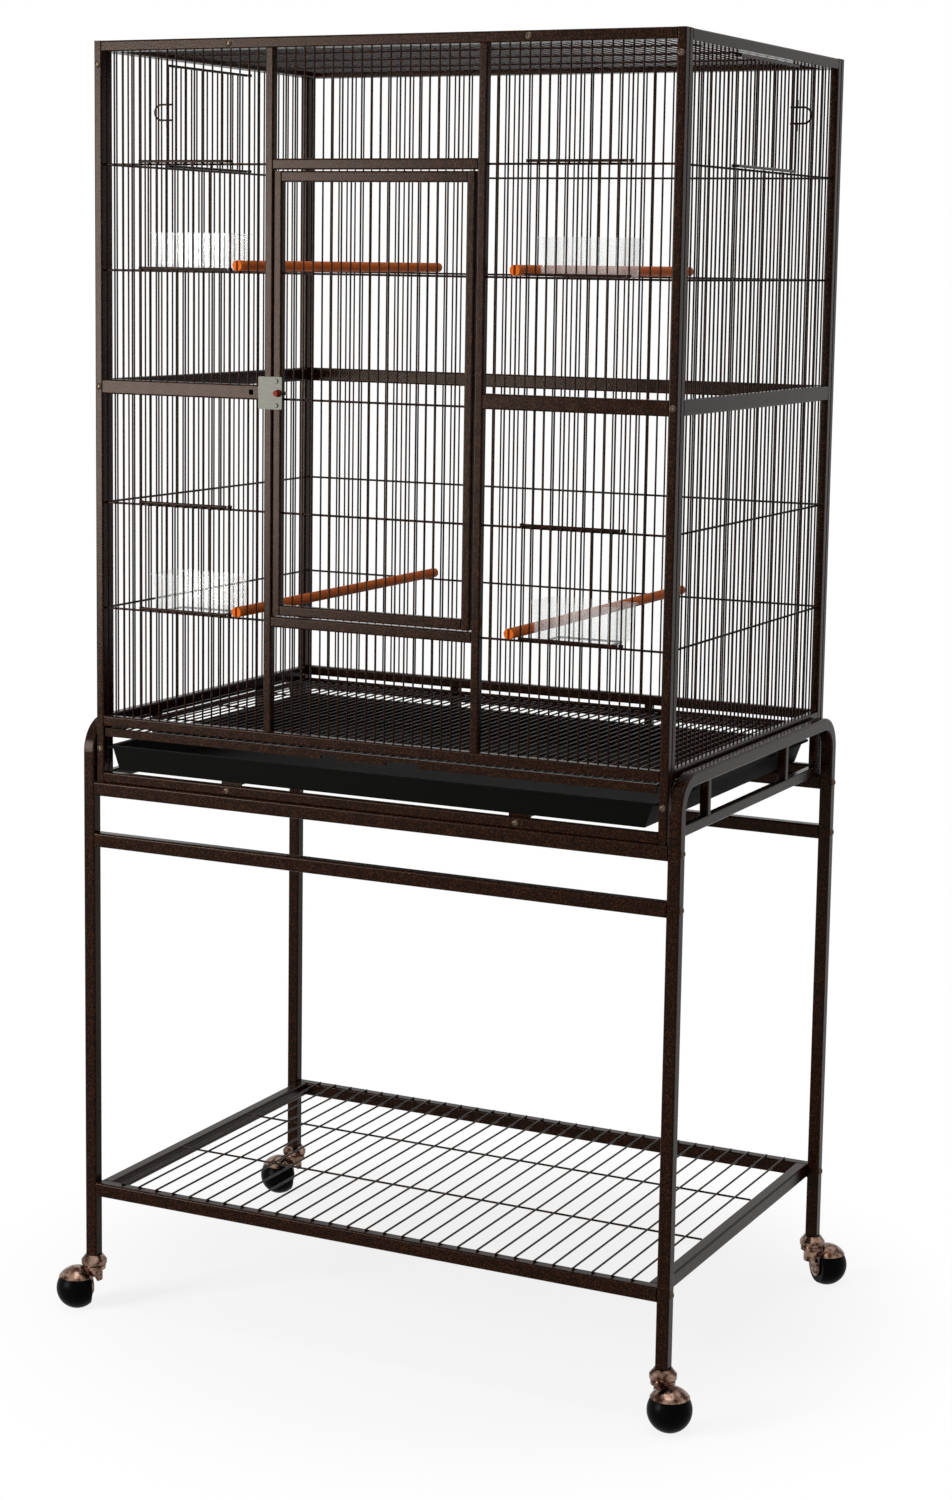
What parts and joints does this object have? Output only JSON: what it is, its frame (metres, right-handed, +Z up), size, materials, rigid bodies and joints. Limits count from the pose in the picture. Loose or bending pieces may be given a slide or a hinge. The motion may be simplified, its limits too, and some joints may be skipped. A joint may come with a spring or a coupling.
{
  "type": "bird cage on stand",
  "caption": "Tall wire flight cage with a front door, lift gates, seed cups, perches and a slide-out tray, on a tube stand with a shelf and ball casters.",
  "frame": {"origin": "on the floor under the middle of the cage", "axes": "+Z up, -Y towards the front door, +X to the right seen from the front"},
  "size_m": [0.882, 0.602, 1.608],
  "materials": {
    "frame_paint": "hammered powder coat, dark brown",
    "caster_brass": "polished, antique",
    "bolt_brass": "dull",
    "plain_steel": "bright",
    "zinc": "zinc plated",
    "knob_plastic": "gloss",
    "tray_plastic": "fine grain",
    "wheel_plastic": "satin",
    "socket_plastic": "matt",
    "clear_plastic": "clear",
    "dowel_wood": "stained, clear lacquer"
  },
  "bodies": {
    "cage_and_stand": {"cage_bolts": "bolt_brass", "caster_sockets": "socket_plastic", "cup_rests": "frame_paint", "front_lower_cross_rail": "frame_paint", "front_panel_bars": "frame_paint", "front_panel_frame": "frame_paint", "front_upper_cross_rail": "frame_paint", "left_panel_bars": "frame_paint", "left_panel_frame": "frame_paint", "left_side_frame": "frame_paint", "perch_lower_left": "dowel_wood", "perch_lower_right": "dowel_wood", "perch_upper_left": "dowel_wood", "perch_upper_right": "dowel_wood", "rail_end_plugs": "plain_steel", "rear_lower_cross_rail": "frame_paint", "rear_panel_bars": "frame_paint", "rear_panel_frame": "frame_paint", "rear_upper_cross_rail": "frame_paint", "right_panel_bars": "frame_paint", "right_panel_frame": "frame_paint", "right_side_frame": "frame_paint", "shelf_frame": "frame_paint", "shelf_wires": "frame_paint", "stand_bolts": "bolt_brass", "top_panel_bars": "frame_paint", "top_panel_frame": "frame_paint", "tray_straps": "frame_paint"},
    "front_door": {"door_frame": "frame_paint", "door_bars": "frame_paint", "door_pivots": "plain_steel", "latch_plate": "zinc", "latch_screws": "zinc"},
    "door_bolt": {"latch_bolt": "plain_steel", "latch_knob": "knob_plastic"},
    "gate_upper_left": {"feeder_gate_upper_left": "frame_paint"},
    "gate_upper_right": {"feeder_gate_upper_right": "frame_paint"},
    "gate_lower_left": {"feeder_gate_lower_left": "frame_paint"},
    "gate_lower_right": {"feeder_gate_lower_right": "frame_paint"},
    "seed_cup_upper_left": {"cup_upper_left": "clear_plastic"},
    "seed_cup_upper_right": {"cup_upper_right": "clear_plastic"},
    "seed_cup_lower_left": {"cup_lower_left": "clear_plastic"},
    "seed_cup_lower_right": {"cup_lower_right": "clear_plastic"},
    "small_door_left": {"left_side_door": "frame_paint"},
    "small_door_right": {"right_side_door": "frame_paint"},
    "grille": {"floor_grille": "frame_paint", "grille_strip": "frame_paint"},
    "drop_tray": {"tray": "tray_plastic"},
    "caster_front_left": {"caster_hood_front_left": "caster_brass", "caster_axle_front_left": "plain_steel"},
    "wheel_front_left": {"caster_wheel_front_left": "wheel_plastic"},
    "caster_front_right": {"caster_hood_front_right": "caster_brass", "caster_axle_front_right": "plain_steel"},
    "wheel_front_right": {"caster_wheel_front_right": "wheel_plastic"},
    "caster_rear_right": {"caster_hood_rear_right": "caster_brass", "caster_axle_rear_right": "plain_steel"},
    "wheel_rear_right": {"caster_wheel_rear_right": "wheel_plastic"},
    "caster_rear_left": {"caster_hood_rear_left": "caster_brass", "caster_axle_rear_left": "plain_steel"},
    "wheel_rear_left": {"caster_wheel_rear_left": "wheel_plastic"}
  },
  "joints": [
    {"name": "front_door_hinge", "type": "hinge", "parent": "cage_and_stand", "child": "front_door", "pos_m": [0.1273, -0.259, 1.1875], "axis": [0, 0, 1], "range_deg": [0, 105]},
    {"name": "door_bolt_slide", "type": "slide", "parent": "front_door", "child": "door_bolt", "axis": [-1, 0, 0], "range_m": [0, 0.005]},
    {"name": "gate_upper_left_lift", "type": "slide", "parent": "cage_and_stand", "child": "gate_upper_left", "axis": [0, 0, 1], "range_m": [0, 0.115]},
    {"name": "gate_upper_right_lift", "type": "slide", "parent": "cage_and_stand", "child": "gate_upper_right", "axis": [0, 0, 1], "range_m": [0, 0.115]},
    {"name": "gate_lower_left_lift", "type": "slide", "parent": "cage_and_stand", "child": "gate_lower_left", "axis": [0, 0, 1], "range_m": [0, 0.115]},
    {"name": "gate_lower_right_lift", "type": "slide", "parent": "cage_and_stand", "child": "gate_lower_right", "axis": [0, 0, 1], "range_m": [0, 0.115]},
    {"name": "seed_cup_upper_left_lift", "type": "slide", "parent": "cage_and_stand", "child": "seed_cup_upper_left", "axis": [0, 0, 1], "range_m": [0, 0.07]},
    {"name": "seed_cup_upper_right_lift", "type": "slide", "parent": "cage_and_stand", "child": "seed_cup_upper_right", "axis": [0, 0, 1], "range_m": [0, 0.07]},
    {"name": "seed_cup_lower_left_lift", "type": "slide", "parent": "cage_and_stand", "child": "seed_cup_lower_left", "axis": [0, 0, 1], "range_m": [0, 0.07]},
    {"name": "seed_cup_lower_right_lift", "type": "slide", "parent": "cage_and_stand", "child": "seed_cup_lower_right", "axis": [0, 0, 1], "range_m": [0, 0.07]},
    {"name": "small_door_left_hinge", "type": "hinge", "parent": "cage_and_stand", "child": "small_door_left", "pos_m": [-0.3825, 0.09525, 1.526], "axis": [0, 0, -1], "range_deg": [0, 130]},
    {"name": "small_door_right_hinge", "type": "hinge", "parent": "cage_and_stand", "child": "small_door_right", "pos_m": [0.3825, -0.09525, 1.526], "axis": [0, 0, -1], "range_deg": [0, 130]},
    {"name": "grille_slide", "type": "slide", "parent": "cage_and_stand", "child": "grille", "axis": [0, -1, 0], "range_m": [0, 0.42]},
    {"name": "tray_slide", "type": "slide", "parent": "cage_and_stand", "child": "drop_tray", "axis": [0, -1, 0], "range_m": [0, 0.42]},
    {"name": "caster_front_left_swivel", "type": "hinge", "parent": "cage_and_stand", "child": "caster_front_left", "pos_m": [-0.3985, -0.2585, 0.07], "axis": [0, 0, 1], "continuous": true},
    {"name": "wheel_front_left_spin", "type": "hinge", "parent": "caster_front_left", "child": "wheel_front_left", "pos_m": [-0.41406, -0.27406, 0.02695], "axis": [-0.7071, -0.7071, 0], "continuous": true},
    {"name": "caster_front_right_swivel", "type": "hinge", "parent": "cage_and_stand", "child": "caster_front_right", "pos_m": [0.3985, -0.2585, 0.07], "axis": [0, 0, 1], "continuous": true},
    {"name": "wheel_front_right_spin", "type": "hinge", "parent": "caster_front_right", "child": "wheel_front_right", "pos_m": [0.41406, -0.27406, 0.02695], "axis": [0.7071, -0.7071, 0], "continuous": true},
    {"name": "caster_rear_right_swivel", "type": "hinge", "parent": "cage_and_stand", "child": "caster_rear_right", "pos_m": [0.3985, 0.2585, 0.07], "axis": [0, 0, 1], "continuous": true},
    {"name": "wheel_rear_right_spin", "type": "hinge", "parent": "caster_rear_right", "child": "wheel_rear_right", "pos_m": [0.41406, 0.27406, 0.02695], "axis": [0.7071, 0.7071, 0], "continuous": true},
    {"name": "caster_rear_left_swivel", "type": "hinge", "parent": "cage_and_stand", "child": "caster_rear_left", "pos_m": [-0.3985, 0.2585, 0.07], "axis": [0, 0, 1], "continuous": true},
    {"name": "wheel_rear_left_spin", "type": "hinge", "parent": "caster_rear_left", "child": "wheel_rear_left", "pos_m": [-0.41406, 0.24294, 0.02695], "axis": [-0.7071, -0.7071, 0], "continuous": true}
  ]
}
